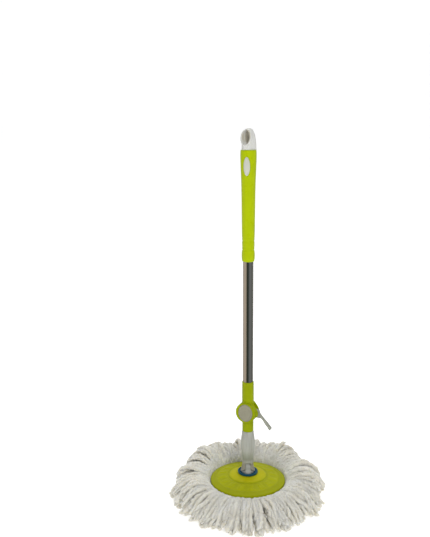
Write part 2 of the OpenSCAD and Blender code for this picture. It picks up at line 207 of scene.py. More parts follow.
def lathe(name, prof, mat, n=128, sharp=40.0, closed=True, bump=None):
    """Turns (r, z) points about Z. prof runs so that its left side is solid."""
    prof = np.asarray(prof, dtype=float)
    a = np.arange(n) * TAU / n
    P = np.zeros((len(prof), n, 3))
    P[..., 0] = prof[:, 0, None] * np.cos(a)
    P[..., 1] = prof[:, 0, None] * np.sin(a)
    P[..., 2] = prof[:, 1, None]
    if bump is not None:
        P = bump(P, a)
    faces = grid_faces(len(prof), n, closed, True)
    o = make(name, P.reshape(-1, 3), faces, mat, sharp)
    face_out(o)
    return o


def face_out(o):
    bm = bmesh.new()
    bm.from_mesh(o.data)
    bmesh.ops.remove_doubles(bm, verts=bm.verts, dist=1e-7)
    bmesh.ops.recalc_face_normals(bm, faces=bm.faces)
    bm.to_mesh(o.data)
    bm.free()


def rounded(pts, r=1.0, n=4):
    """A closed outline with its corners rounded by radius r (a number, or one for each corner)."""
    pts = [np.array(p, dtype=float) for p in pts]
    rs = [r] * len(pts) if isinstance(r, (int, float)) else list(r)
    out = []
    for i, p in enumerate(pts):
        a, b = pts[i - 1], pts[(i + 1) % len(pts)]
        u, v = a - p, b - p
        lu, lv = np.linalg.norm(u), np.linalg.norm(v)
        t = min(rs[i], lu * 0.48, lv * 0.48)
        if t < 1e-3:
            out.append(tuple(p))
            continue
        p0, p2 = p + u / lu * t, p + v / lv * t
        for k in range(n + 1):
            s = k / n
            out.append(tuple((1 - s) ** 2 * p0 + 2 * s * (1 - s) * p + s * s * p2))
    return out


# signed distances, negative inside

def d_poly(x, y, pts):
    pts = np.asarray(pts, dtype=float)
    d = np.full(x.shape, 1e18)
    s = np.ones(x.shape)
    for i in range(len(pts)):
        a, b = pts[i], pts[i - 1]
        ex, ey = b[0] - a[0], b[1] - a[1]
        wx, wy = x - a[0], y - a[1]
        t = np.clip((wx * ex + wy * ey) / (ex * ex + ey * ey), 0, 1)
        dx, dy = wx - ex * t, wy - ey * t
        d = np.minimum(d, dx * dx + dy * dy)
        c1, c2, c3 = y >= a[1], y < b[1], ex * wy > ey * wx
        s = np.where((c1 & c2 & c3) | (~c1 & ~c2 & ~c3), -s, s)
    return s * np.sqrt(d)


def d_slab(d2, t, h):
    """A 2-D distance made h thick each way along t."""
    w = np.abs(t) - h
    return np.minimum(np.maximum(d2, w), 0) + np.hypot(np.maximum(d2, 0), np.maximum(w, 0))


def d_box(x, y, z, hx, hy, hz, r=0.0):
    qx, qy, qz = np.abs(x) - hx + r, np.abs(y) - hy + r, np.abs(z) - hz + r
    return np.sqrt(np.maximum(qx, 0) ** 2 + np.maximum(qy, 0) ** 2 + np.maximum(qz, 0) ** 2) + np.minimum(np.maximum(qx, np.maximum(qy, qz)), 0) - r


def smin(a, b, k):
    h = np.clip(0.5 + 0.5 * (b - a) / k, 0, 1)
    return b * (1 - h) + a * h - k * h * (1 - h)


def smax(a, b, k):
    return -smin(-a, -b, k)


def shell(name, field, lo, hi, step, mat, sharp=0.0):
    """The zero surface of field(x, y, z), as a quad mesh by surface nets."""
    lo, hi = np.array(lo, dtype=float), np.array(hi, dtype=float)
    n = np.ceil((hi - lo) / step).astype(int) + 1
    ax = [lo[k] + step * np.arange(n[k]) for k in range(3)]
    X, Y, Z = np.meshgrid(*ax, indexing="ij")
    F = field(X, Y, Z)
    F = np.where(np.abs(F) < 1e-9, 1e-9, F)
    S = F < 0
    c = [slice(0, -1), slice(1, None)]
    corner = [(i, j, k) for i in (0, 1) for j in (0, 1) for k in (0, 1)]
    cnt = sum(S[c[i], c[j], c[k]].astype(int) for i, j, k in corner)
    cell = (cnt > 0) & (cnt < 8)
    idx = np.full(cell.shape, -1)
    I = np.argwhere(cell)
    idx[cell] = np.arange(len(I))
    acc = np.zeros((len(I), 3))
    num = np.zeros(len(I))
    for a in corner:
        for axis in range(3):
            if a[axis]:
                continue
            b = list(a)
            b[axis] = 1
            fa = F[I[:, 0] + a[0], I[:, 1] + a[1], I[:, 2] + a[2]]
            fb = F[I[:, 0] + b[0], I[:, 1] + b[1], I[:, 2] + b[2]]
            hit = (fa < 0) != (fb < 0)
            t = np.where(hit, fa / np.where(fa == fb, 1, fa - fb), 0)
            p = np.tile(np.array(a, dtype=float), (len(I), 1))
            p[:, axis] += t
            acc += np.where(hit[:, None], p, 0)
            num += hit
    V = lo + step * (I + acc / num[:, None])
    faces = []
    for axis in range(3):
        u, v = (axis + 1) % 3, (axis + 2) % 3
        sl = [slice(None)] * 3
        sl[axis] = slice(0, -1)
        sr = list(sl)
        sr[axis] = slice(1, None)
        A, B = S[tuple(sl)], S[tuple(sr)]
        E = np.argwhere(A != B)
        E = E[(E[:, u] > 0) & (E[:, v] > 0) & (E[:, u] < n[u] - 1) & (E[:, v] < n[v] - 1)]
        q = []
        for du, dv in ((1, 1), (0, 1), (0, 0), (1, 0)):
            e = E.copy()
            e[:, u] -= du
            e[:, v] -= dv
            q.append(idx[e[:, 0], e[:, 1], e[:, 2]])
        q = np.stack(q, -1)
        inside = A[E[:, 0], E[:, 1], E[:, 2]]
        q = np.where(inside[:, None], q, q[:, ::-1])
        faces.append(q)
    return make(name, V, np.concatenate(faces).tolist(), mat, sharp)


def interp_rings(rings, z):
    """Half widths at height z, smooth between the given rings."""
    R = np.asarray(rings, dtype=float)
    out = []
    for k in (1, 2):
        zz, vv = R[:, 0], R[:, k]
        # monotone-ish cubic through the rings
        m = np.gradient(vv, zz)
        i = np.clip(np.searchsorted(zz, z) - 1, 0, len(zz) - 2)
        h = zz[i + 1] - zz[i]
        t = np.clip((z - zz[i]) / h, 0, 1)
        h00, h10 = 2 * t**3 - 3 * t**2 + 1, t**3 - 2 * t**2 + t
        h01, h11 = -2 * t**3 + 3 * t**2, t**3 - t**2
        out.append(h00 * vv[i] + h10 * h * m[i] + h01 * vv[i + 1] + h11 * h * m[i + 1])
    return out


def turned(x, y, a):
    """x, y in a frame turned by a about Z."""
    c, s = math.cos(a), math.sin(a)
    return x * c + y * s, -x * s + y * c


def turn_mesh(o, a):
    o.data.transform(Matrix.Rotation(a, 4, "Z"))
    return o


def done(o, body, slot, *replaced):
    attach(o, body)
    if replaced:
        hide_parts(*replaced)
    return o


# ---------------------------------------------------------------- materials used

def disc_mat():
    m = Mat("disc_lime_plastic")
    x, y, z = m.xyz()
    r = m.math("SQRT", m.math("ADD", m.math("MULTIPLY", x, x), m.math("MULTIPLY", y, y)))
    base = m.ramp(m.noise(55, 4), [(0.3, (0.365, 0.39, 0.002)), (0.7, (0.42, 0.44, 0.003))])
    # painted light: the hub's dome is a little lighter and yellower, a painted highlight on its top, and the groove
    # and the rim are darkened with painted shade
    hub = m.span(r, 1.0, 0.0, 0.036, 0.042)
    base = m.mix(m.math("MULTIPLY", hub, 0.75), base, (0.53, 0.495, 0.002))
    groove = m.math("MULTIPLY", m.span(r, 0.0, 1.0, 0.0395, 0.042), m.span(r, 1.0, 0.0, 0.0445, 0.048))
    base = m.mix(m.math("MULTIPLY", groove, 0.45), base, (0.27, 0.30, 0.003))
    # painted shade in the gaps between the sixteen pads
    turn = m.math("MULTIPLY", m.math("ADD", m.math("ARCTAN2", y, x), TAU + math.pi / 2 + 0.11 - math.radians(24.0)), 16 / TAU)
    gap = m.math("ABSOLUTE", m.math("SUBTRACT", m.math("FRACT", turn), 0.5))
    zone = m.math("MULTIPLY", m.span(r, 0.0, 1.0, 0.047, 0.051), m.span(r, 1.0, 0.0, 0.064, 0.068))
    base = m.mix(m.math("MULTIPLY", m.math("MULTIPLY", m.span(gap, 0.0, 1.0, 0.25, 0.42), zone), 0.38), base, (0.29, 0.32, 0.002))
    # painted shade on the rim band
    rim = m.span(r, 0.0, 1.0, 0.066, 0.071)
    base = m.mix(m.math("MULTIPLY", rim, 0.5), base, (0.26, 0.29, 0.003))
    dirt = m.span(m.noise(120, 6, 0.7), 0.0, 0.30, 0.52, 0.75)
    base = m.mix(dirt, base, (0.27, 0.30, 0.02))
    m.colour(base)
    m.rough(m.span(m.noise(160, 4), 0.38, 0.55))
    m.bump(m.noise(1100, 2), 0.2, 0.00008)
    m.b.inputs["Specular IOR Level"].default_value = 0.16
    m.b.inputs["Specular Tint"].default_value = (0.80, 0.92, 0.22, 1.0)
    return m.m


def yarn_mat():
    m = Mat("microfibre_yarn")
    n1 = m.noise(45, 4, 0.6)
    n2 = m.noise(420, 4, 0.72)
    n3 = m.noise(13, 2)
    c = m.ramp(n1, [(0.25, (0.70, 0.665, 0.575)), (0.5, (0.84, 0.81, 0.715)), (0.8, (0.90, 0.885, 0.81))])
    # a few larger greyer patches at random, and soft grey-brown painted shade between the fibres, where the bump is
    # low
    c = m.mix(m.span(n3, 0.0, 0.30, 0.50, 0.72), c, (0.56, 0.535, 0.47))
    c = m.mix(m.span(n2, 0.35, 0.0, 0.34, 0.56), c, (0.50, 0.46, 0.385))
    m.colour(c)
    m.rough(m.span(n2, 0.82, 0.98))
    h = m.math("ADD", n2, m.math("MULTIPLY", m.noise(1500, 2), 0.5))
    m.bump(h, 0.8, 0.0010)
    m.b.inputs["Sheen Weight"].default_value = 0.5
    m.b.inputs["Sheen Roughness"].default_value = 0.5
    m.b.inputs["Specular IOR Level"].default_value = 0.12
    m.b.inputs["Subsurface Weight"].default_value = 0.5
    m.b.inputs["Subsurface Radius"].default_value = (0.010, 0.009, 0.007)
    m.b.inputs["Subsurface Scale"].default_value = 1.0
    return m.m


def steel_mat(name, rough=0.14, c=(0.60, 0.595, 0.58)):
    m = Mat(name)
    # drawn tube: faint lengthways polish lines and a few hazy patches
    lines = m.noise(1.0, 3, 0.6, m.mapping((900, 900, 9)))
    haze = m.noise(16, 3)
    m.colour(m.ramp(lines, [(0.3, tuple(v * 0.86 for v in c)), (0.7, c)]))
    m.rough(m.math("ADD", m.span(haze, rough * 0.7, rough * 1.6), m.span(lines, 0.0, 0.05)))
    m.set(Metallic=1.0)
    m.bump(lines, 0.08, 0.00004)
    return m.m


def cloudy_mat(name, lo, hi, z0, z1, tube=False):
    """Cloudy polypropylene, paler towards z0."""
    m = Mat(name)
    z = m.xyz()[2]
    f = m.span(z, 0.0, 1.0, z0, z1)
    streak = m.noise(1.0, 3, 0.6, m.mapping((300, 300, 22)))
    c = m.mix(f, hi, lo)
    c = m.mix(m.span(streak, 0.0, 0.35, 0.4, 0.7), c, tuple(v * 0.72 for v in lo))
    if tube:
        # the steel tube's lower end shows through as a darker band
        band = m.math("MULTIPLY", m.span(z, 0.0, 1.0, 0.081, 0.088), m.span(z, 1.0, 0.0, 0.090, 0.108))
        c = m.mix(m.math("MULTIPLY", band, 0.6), c, (0.22, 0.235, 0.16))
    m.colour(c)
    m.rough(m.span(m.noise(80, 3), 0.30, 0.46))
    m.bump(streak, 0.12, 0.0002)
    m.b.inputs["Subsurface Weight"].default_value = 0.35
    m.b.inputs["Subsurface Radius"].default_value = (0.006, 0.006, 0.006)
    m.b.inputs["Subsurface Scale"].default_value = 1.0
    return m.m


def cap_mat():
    """White plastic, with the hanging hole's inside painted darker beige: beige wear and painted shade together."""
    m = Mat("cap_white_plastic")
    x, y, z = m.xyz()
    c = m.ramp(m.noise(38, 4), [(0.3, (0.655, 0.655, 0.625)), (0.7, (0.71, 0.71, 0.68))])
    ex = m.math("DIVIDE", x, m.span(y, 0.0102, 0.0070, -0.010, -0.003))
    ez = m.math("DIVIDE", m.math("SUBTRACT", z, 0.7912), 0.0152)
    e = m.math("SQRT", m.math("ADD", m.math("MULTIPLY", ex, ex), m.math("MULTIPLY", ez, ez)))
    inside = m.span(e, 1.0, 0.0, 0.93, 1.02)
    streak = m.noise(1.0, 3, 0.6, m.mapping((900, 500, 40)))
    # the hole's inside: beige wear, and painted shade where the inner wall is in shadow
    hole_wear_and_shade = m.ramp(streak, [(0.3, (0.44, 0.40, 0.31)), (0.7, (0.56, 0.53, 0.44))])
    c = m.mix(m.math("MULTIPLY", inside, 0.85), c, hole_wear_and_shade)
    m.colour(c)
    m.rough(m.span(m.noise(90, 3), 0.30, 0.42))
    m.bump(m.noise(900, 2), 0.12, 0.00006)
    m.b.inputs["Subsurface Weight"].default_value = 0.15
    m.b.inputs["Subsurface Radius"].default_value = (0.004, 0.004, 0.003)
    m.b.inputs["Subsurface Scale"].default_value = 1.0
    return m.m


M_YARN = yarn_mat()
M_DISC = disc_mat()
LIME = (0.80, 0.92, 0.22)
M_GRIP = plastic("grip_lime_plastic", (0.43, 0.535, 0.002), 0.30, 0.05, 0.12, 0.0, gloss=0.30, tint=LIME)
M_COLLAR = plastic("collar_lime_plastic", (0.305, 0.37, 0.002), 0.36, 0.08, 0.15, 0.0, gloss=0.20, tint=LIME)
M_CAP = cap_mat()
M_BADGE = plastic("badge_white_plastic", (0.60, 0.61, 0.53), 0.30, 0.05, 0.10, 0.15)
M_BOSS = plastic("boss_grey_plastic", (0.325, 0.31, 0.225), 0.42, 0.08, 0.15, 0.0, gloss=0.4)
M_LEVER = plastic("lever_white_plastic", (0.345, 0.35, 0.295), 0.40, 0.07, 0.12, 0.0, soft=0.15, gloss=0.3)
M_DISH = plastic("dish_blue_plastic", (0.003, 0.068, 0.135), 0.30, 0.12, 0.12, 0.1, gloss=0.4, tint=(0.5, 0.8, 1.0))
M_SOCKET = cloudy_mat("socket_cloudy_plastic", (0.355, 0.335, 0.27), (0.47, 0.48, 0.435), 0.084, 0.076, True)
M_KNUCKLE = cloudy_mat("knuckle_cloudy_plastic", (0.36, 0.365, 0.325), (0.45, 0.46, 0.42), 0.080, 0.060)
M_TUBE = steel_mat("steel_tube_polished", 0.10, (0.62, 0.61, 0.59))
M_STEEL = steel_mat("steel_plain", 0.30, (0.48, 0.48, 0.47))
M_BLACK = plastic("black_plastic", (0.022, 0.022, 0.024), 0.45, 0.2, 0.2)
M_ORANGE = plastic("nut_orange_plastic", (0.42, 0.09, 0.01), 0.40, 0.1, 0.15)
M_WHITE2 = plastic("refill_white_plastic", (0.60, 0.60, 0.575), 0.42, 0.08, 0.15)

CAD_MATS = {"refill_ring": M_WHITE2, "refill_backing": M_WHITE2, "swivel_washer": M_STEEL, "swivel_screw": M_STEEL,
            "yoke_pin": M_STEEL, "lower_tube": M_TUBE, "upper_tube": M_TUBE, "connector_screw": M_STEEL, "clutch_plug": M_BLACK,
            "guide_bush": M_BLACK, "drive_nut": M_ORANGE, "twisted_rod": M_STEEL, "rod_stop": M_STEEL, "rod_anchor": M_BLACK,
            "anchor_pin": M_STEEL, "collar_bush": M_BLACK, "collar_rivet": M_STEEL, "lever_pin": M_STEEL, "clamp_shoe": M_BLACK}
for n, mat in CAD_MATS.items():
    for s in NODES[n].material_slots:
        s.material = mat
    if not NODES[n].material_slots:
        NODES[n].data.materials.append(mat)


# ---------------------------------------------------------------- grip

GRIP = [[533, 11.9, 11.9], [533.6, 12.5, 12.5], [535.2, 12.9, 12.8], [563, 13.0, 12.9], [595, 13.5, 13.4], [627, 13.9, 14.0],
        [655, 14.2, 14.5], [679, 14.5, 15.2], [699, 14.9, 16.0], [717, 15.6, 17.0], [733, 16.2, 17.9], [747, 16.6, 18.4],
        [761, 16.6, 18.3], [763.4, 16.5, 18.0], [764.5, 16.1, 17.5], [765, 15.5, 16.9]]
BADGE_Z, BADGE_A, BADGE_B = 732.0, 6.9, 19.2


def grip_radius(z, t):
    a, b = interp_rings(GRIP, z)
    return a * np.cos(t), b * np.sin(t)


def build_grip():
    z = np.concatenate([np.linspace(533, 536, 9)[:-1], np.linspace(536, 700, 190)[:-1], np.linspace(700, 761, 130)[:-1], np.linspace(761, 765, 11)])
    t = np.arange(176) * TAU / 176
    Z, T = np.meshgrid(z, t, indexing="ij")
    X, Y = grip_radius(Z, T)
    # shallow rings near the bottom, where the hand's heel rests
    band = sum(np.exp(-((Z - c) / w) ** 2) * h for c, w, h in ((558, 1.6, -0.75), (563.5, 1.2, -0.4), (577, 2.4, -0.8), (583, 1.2, -0.4)))
    # seat of the badge, with a soft lip round it
    e = np.sqrt((X / BADGE_A) ** 2 + ((Z - BADGE_Z) / BADGE_B) ** 2)
    front = (Y < 0).astype(float)
    seat = -1.1 * np.clip((1.06 - e) / 0.05, 0, 1) * front
    lip = 0.28 * np.exp(-((e - 1.12) / 0.05) ** 2) * front
    n = np.stack([X / np.maximum(np.hypot(X, Y), 1e-6), Y / np.maximum(np.hypot(X, Y), 1e-6)], -1)
    d = band + seat + lip
    P = np.stack([X + n[..., 0] * d, Y + n[..., 1] * d, Z], -1)
    # close both ends onto the tube's bore
    def end(zv, r):
        return np.stack([r * np.cos(t), r * np.sin(t), np.full_like(t, zv)], -1)[None]
    P = np.concatenate([end(545, 11.05), end(534.2, 11.05), end(533.0, 11.25), P, end(765.0, 11.0), end(760.0, 11.0)], 0)
    o = make("grip_body", P.reshape(-1, 3), grid_faces(P.shape[0], P.shape[1], False, True), M_GRIP, 55)
    face_out(o)
    return done(turn_mesh(o, TURN), "upper", "grip_lime", "grip")


def build_badge():
    """Bare oval plate, a little proud of the grip and softly domed."""
    nr, nt = 22, 120
    rr = np.concatenate([np.linspace(0, 0.86, nr - 8)[:-1], np.linspace(0.86, 1.0, 9)])
    t = np.arange(nt) * TAU / nt
    R, T = np.meshgrid(rr, t, indexing="ij")
    X = BADGE_A * 1.0 * R * np.cos(T)
    Z = BADGE_Z + BADGE_B * R * np.sin(T)
    a, b = interp_rings(GRIP, Z)
    Y = -b * np.sqrt(np.clip(1 - (X / a) ** 2, 0, 1))
    edge = np.clip((1 - R) / 0.10, 0, 1)
    lift = -0.9 + 1.35 * np.sqrt(1 - (1 - edge) ** 2) + 0.25 * (1 - R ** 2)
    # a plain shallow frame line inside the edge
    lift = lift - 0.22 * np.exp(-((R - 0.82) / 0.025) ** 2)
    n = np.hypot(X, Y)
    P = np.stack([X + X / n * lift, Y + Y / n * lift, Z], -1)
    o = make("badge_plate", P.reshape(-1, 3), grid_faces(len(rr), nt, False, True), M_BADGE, 60)
    face_out(o)
    if o.data.polygons[0].normal.y > 0:
        o.data.flip_normals()
    return done(turn_mesh(o, TURN), "upper", "badge_white", "grip_badge")


# ---------------------------------------------------------------- hanging cap

CAP = [[765, 15.3, 16.6], [767, 15.2, 16.4], [774.4, 14.9, 15.9], [782.8, 14.3, 14.9], [790, 13.4, 13.6], [796.4, 12.2, 12.2],
       [801.6, 10.5, 10.4], [805.8, 8.2, 8.2], [808.4, 5.3, 5.3], [810, 1.8, 1.8]]
HOLE_Z = 791.2
CAP_TURN = math.radians(-3.0)


def cap_field(x, y, z):
    zc = np.clip(z, 765, 810)
    a, b = interp_rings(CAP, zc)
    egg = 0.2
    # radius of the egg-shaped outline in the point's direction
    s = y / np.maximum(np.hypot(x * b / a, y), 1e-6)
    xa = x / (1 + egg * s)
    k = np.sqrt((xa / a) ** 2 + (y / b) ** 2)
    dome = (k - 1) * np.minimum(a, b) * 0.9
    dome = smax(dome, (z - 809.9) * 0.9, 1.5)
    dome = np.maximum(dome, 765.2 - z)
    c, s = math.cos(math.radians(11)), math.sin(math.radians(11))
    for sg in (-1, 1):
        yl = (y - sg * 36) * c + (z - HOLE_Z - 8) * (sg * s)
        dome = smax(dome, sg * yl + 25, 1.6)
    # oval lip on the leaning front face
    yy, zz = y + 12.3, z - HOLE_Z + 1.4
    u = -yy * c + zz * s
    v = yy * s + zz * c
    kk = np.sqrt((x / 12.6) ** 2 + (v / 17.6) ** 2)
    oval = (kk - 1) * 12.6 * 0.92
    lip = smax(oval, np.abs(u + 1.7) - 3.9, 1.8)
    d = smin(dome, lip, 1.0)
    # the hole, and its mouth that opens out towards the lip
    hx = x - 0.25 * y
    hw = 6.1 - 1.1 * np.clip((y + 2) / 6, 0, 1)
    hole = (np.sqrt((hx / hw) ** 2 + ((z - HOLE_Z) / 14.6) ** 2) - 1) * 5.4
    d = smax(d, -hole, 1.1)
    g = np.clip((u + 6.5) / 8.7, 0, 1.2)
    mouth = (np.sqrt(((x - 0.6 + 1.5 * g) / (5.6 + 3.7 * g)) ** 2 + (v / (13.4 + 1.9 * g)) ** 2) - 1) * 6.0
    mouth = np.maximum(mouth, -6.5 - u)
    d = smax(d, -mouth, 0.8)
    plug = np.maximum(np.hypot(x, y) - 10.26, np.maximum(751.2 - z, z - 766))
    return np.minimum(d, plug)


def build_cap():
    step = 0.42
    o = shell("cap_loop", cap_field, (-17, -20, 750), (17, 19, 812), step, M_CAP)
    return done(turn_mesh(o, CAP_TURN), "upper", "cap_white", "hanging_cap")


# ---------------------------------------------------------------- lock: collar, boss, lever

BOSS_Z = 199.0
EAR = [(8, 223), (13, 221), (17, 216), (21.4, 210), (24.6, 202.5), (25.8, 197), (24.4, 191), (19, 186.4), (12, 183.6), (8, 183)]


def collar_field(x, y, z):
    rho = np.hypot(x, y)
    # sleeve with a slightly wider, finely fluted top part
    r = np.where(z < 200, 12.3, 12.7)
    t = np.arctan2(y, x)
    r = r + 0.16 * np.cos(28 * t) * np.clip((z - 200) / 3, 0, 1) * np.clip((263 - z) / 3, 0, 1)
    sleeve = smax(rho - r, np.maximum(153.3 - z, z - 267), 0.9)
    # round boss, turned about an axis along Y
    rb = np.hypot(x, z - BOSS_Z)
    boss = d_poly(rb, -y, rounded([(0, -2.4), (18.2, -2.4), (22.7, 2.4), (22.7, 16.2), (0, 16.2)], [0, 1.2, 2.5, 1.5, 0], 5))
    ear = d_slab(d_poly(x, z, rounded(EAR, 2.5, 4)) + 0.9, y - 0.7, 5.8) - 0.9
    d = smin(sleeve, boss, 2.6)
    d = smin(d, ear, 1.6)
    # lever's slot and the shoe's window
    slot = d_box(x - 28, y, z - BOSS_Z, 15, 4.3, 30, 0.4)
    win = d_box(x - 10.5, y, z - 198.2, 3.5, 4.3, 8.8, 0.3)
    d = smax(d, -slot, 0.9)
    d = smax(d, -win, 0.5)
    # seat of the front cap
    seat = np.maximum((np.sqrt((x / 16.4) ** 2 + ((z - BOSS_Z) / 19.6) ** 2) - 1) * 16.4 * 0.95, 13 + y)
    d = smax(d, -seat, 0.7)
    # bores
    bore = np.where(z > 212, rho - 11.02, np.where(z < 166, rho - 10.92, rho - 9.75))
    d = np.maximum(d, -bore)
    pin = np.maximum(np.hypot(x - 19.5, z - 197.5) - 1.77, np.abs(y + 2) - 10)
    return np.maximum(d, -pin)


def build_collar():
    step = 0.55
    o = shell("collar_body", collar_field, (-25, -18.5, 151), (28, 15, 269.2), step, M_COLLAR)
    return done(o, "upper", "collar_lime", "lock_collar")


def build_boss():
    """Oval plate set in the boss: a raised rim, a shallow dish and a plain centre button."""
    prof = rounded([(0, 16.5), (3.4, 16.5), (4.4, 16.0), (12.2, 15.8), (13.8, 16.7), (15.3, 16.9), (16.15, 16.1), (16.15, 13.0), (0, 13.0)],
                   [0, 0.6, 0.6, 0.8, 0.8, 0.7, 0.5, 0, 0], 4)
    P = np.asarray(prof)
    n = 128
    a = np.arange(n) * TAU / n
    X = P[:, 0, None] * np.cos(a)
    Z = P[:, 0, None] * np.sin(a) * (19.4 / 16.15)
    Y = -np.repeat(P[:, 1, None], n, 1)
    V = np.stack([X, Y, Z + BOSS_Z], -1)
    o = make("boss_plate", V.reshape(-1, 3), grid_faces(len(P), n, False, True), M_BOSS, 50)
    face_out(o)
    return done(o, "upper", "boss_grey", "front_cap")


LEVER_A = math.radians(49.3)


def lever_field(x, y, z):
    dx, dz = x - 19.5, z - 197.5
    c, s = math.cos(LEVER_A), math.sin(LEVER_A)
    u = dx * c - dz * s          # along the arm
    v = dx * s + dz * c          # towards its outer side
    cam = np.hypot(dx - 0.15, dz) - 8.2
    L, f, h = 46.8, 4.6, 1.62
    arm = d_poly(u, v, rounded([(-1, f - 2), (0, f + h), (L - 2.4, f + h), (L + 0.4, f + 0.5), (L + 0.9, f - 1.2), (L - 0.4, f - 2.5), (L - 3, f - 2.4),
                                (L - 6.4, f - h), (18, f - h), (14.5, 1.9), (11.5, -2), (7.5, -6.4), (3.5, -8.9), (1, -6)],
                               [0.5, 0.5, 2, 1, 0.9, 0.9, 1, 3, 3, 3, 3, 2.2, 1.6, 0.5], 4))
    d2 = np.minimum(cam, arm)
    # the arm is a little narrower than its root, with a stiffening groove along its outer face
    w = 3.8 + 1.7 * np.clip((u - 24.5) / 5, 0, 1) ** 0.8
    d = d_slab(d2 + 0.75, y, w - 0.75) - 0.75
    groove = np.maximum(np.maximum(np.abs(y) - 1.7, f + 1.0 - v), np.maximum(13 - u, u - (L - 7)))
    d = smax(d, -groove, 0.5)
    return np.maximum(d, -(np.hypot(dx, dz) - 1.82))


def build_lever():
    step = 0.36
    o = shell("lever_arm", lever_field, (9.5, -6.5, 160), (56, 6.5, 209), step, M_LEVER)
    return done(o, "lever", "lever_white", "lock_lever")


# ---------------------------------------------------------------- foot of the pole

BARREL = [(78.2, 12.2), (85, 12.2), (92, 12.7), (101, 13.7), (110, 14.7), (120, 15.3), (126, 15.3), (136, 14.6), (144, 13.6), (150.6, 12.6), (153, 12.1)]
BELL = [(56, 16.0), (60.3, 16.0), (63.2, 14.9), (66.4, 13.8), (73.6, 12.3), (79, 11.75), (84, 11.3)]


def socket_field(x, y, z):
    rho = np.hypot(x, y)
    t = np.arctan2(y, x)
    B = np.asarray(BARREL)
    r = np.interp(z, B[:, 0], B[:, 1])
    # fine lengthways ribs
    win = np.clip((z - 97) / 8, 0, 1) * np.clip((146 - z) / 6, 0, 1)
    r = r + 0.20 * win * np.cos(24 * t)
    # rolled rim at the top
    r = r + 0.5 * np.exp(-((z - 150.2) / 1.3) ** 2)
    barrel = smax((rho - r) * 0.98, np.maximum(78.2 - z, z - 153), 0.8)
    Q = np.asarray(BELL)
    bell = (rho - np.interp(z, Q[:, 0], Q[:, 1])) * 0.95
    # upright ribs on the flared foot
    bell = bell - 0.16 * np.cos(30 * t) * np.clip((z - 60) / 3, 0, 1) * np.clip((80 - z) / 5, 0, 1)
    side = smin(np.hypot(y, z - 70) - 12.3, np.maximum(np.abs(y) - 10.7, np.maximum(70 - z, z - 86)), 1.0)
    foot = smax(smax(bell, side, 0.8), z - 84, 0.5)
    d = smin(barrel, foot, 2.4)
    slot = d_box(x, y, z - 65, 6, 30, 15, 1.6)
    d = smax(d, -slot, 0.3)
    bore = np.maximum(rho - 9.52, 90 - z)
    d = np.maximum(d, -bore)
    pin = np.hypot(y, z - 70) - 2.52
    d = np.maximum(d, -pin)
    hx, hy = turned(x, y, -FOOT_TURN)
    hole = np.maximum(np.hypot(hx, z - 140) - 3.4, 12.4 - hy)
    hole = np.minimum(hole, np.maximum(np.hypot(hx, z - 140) - 1.76, 8 - hy))
    return np.maximum(d, -hole)


def build_socket():
    step = 0.5
    o = shell("socket_body", socket_field, (-18.5, -17, 57), (18.5, 17, 154.5), step, M_SOCKET)
    return done(turn_mesh(o, FOOT_TURN), "shaft", "clear_white", "pole_connector")


TONGUE = [(-1, 55.9), (16.9, 55.9), (17, 57.6), (16.2, 59.6), (14.2, 62.4), (12.6, 65.2), (11.6, 68.4), (10.9, 70.3), (9.1, 72.6), (-1, 72.6)]


def knuckle_field(x, y, z):
    rho = np.hypot(x, y)
    t = np.arctan2(y, x)
    # tongue, flared to the front and back, and its round top
    side = np.minimum(d_poly(np.abs(y), z, TONGUE), np.hypot(y, z - 70) - 9.2)
    d = smax(side, np.abs(x) - 5.82, 0.5 + 1.2 * np.clip((z - 66) / 9, 0, 1))
    d = smax(d, rho - 16.7 - 0.1 * np.cos(30 * t), 0.6)
    base = np.maximum(rho - 12.0, np.maximum(55.9 - z, z - 57.2))
    d = smin(d, base, 0.6)
    # low skirt that closes the foot's bell, cut away round the ears
    skirt = np.interp(z, [55.9, 57.4, 59.6, 61.6, 62.3], [14.2, 14.5, 14.2, 13.6, 12.9])
    skirt = smax(np.maximum(rho - skirt, 11.5 - rho), np.maximum(55.95 - z, z - 62.3), 0.5)
    skirt = smax(skirt, 12.75 - np.hypot(y, z - 70), 0.5)
    d = smin(d, skirt, 0.6)
    spindle = np.maximum(rho - 8.0, np.maximum(36.6 - z, z - 57))
    d = np.minimum(d, spindle)
    d = np.maximum(d, -(np.hypot(y, z - 70) - 2.56))
    return np.maximum(d, -np.maximum(rho - 2.0, z - 52))


def build_knuckle():
    o = shell("knuckle_body", knuckle_field, (-18, -18, 35.5), (18, 18, 80), 0.45, M_KNUCKLE)
    return done(turn_mesh(o, FOOT_TURN), "swivel", "clear_white", "swivel_knuckle")


def build_dish():
    prof = rounded([(8.01, 53.3), (20.95, 53.3), (22.25, 54.6), (22.25, 58.5), (19.35, 58.5), (17.65, 55.9), (8.01, 55.9)], [0, 0.4, 0.8, 0.9, 0.7, 0.6, 0], 5)
    o = lathe("dish_ring", prof, M_DISH, 128, 50)
    return done(o, "swivel", "dish_blue", "swivel_plate")


# ---------------------------------------------------------------- plate of the head

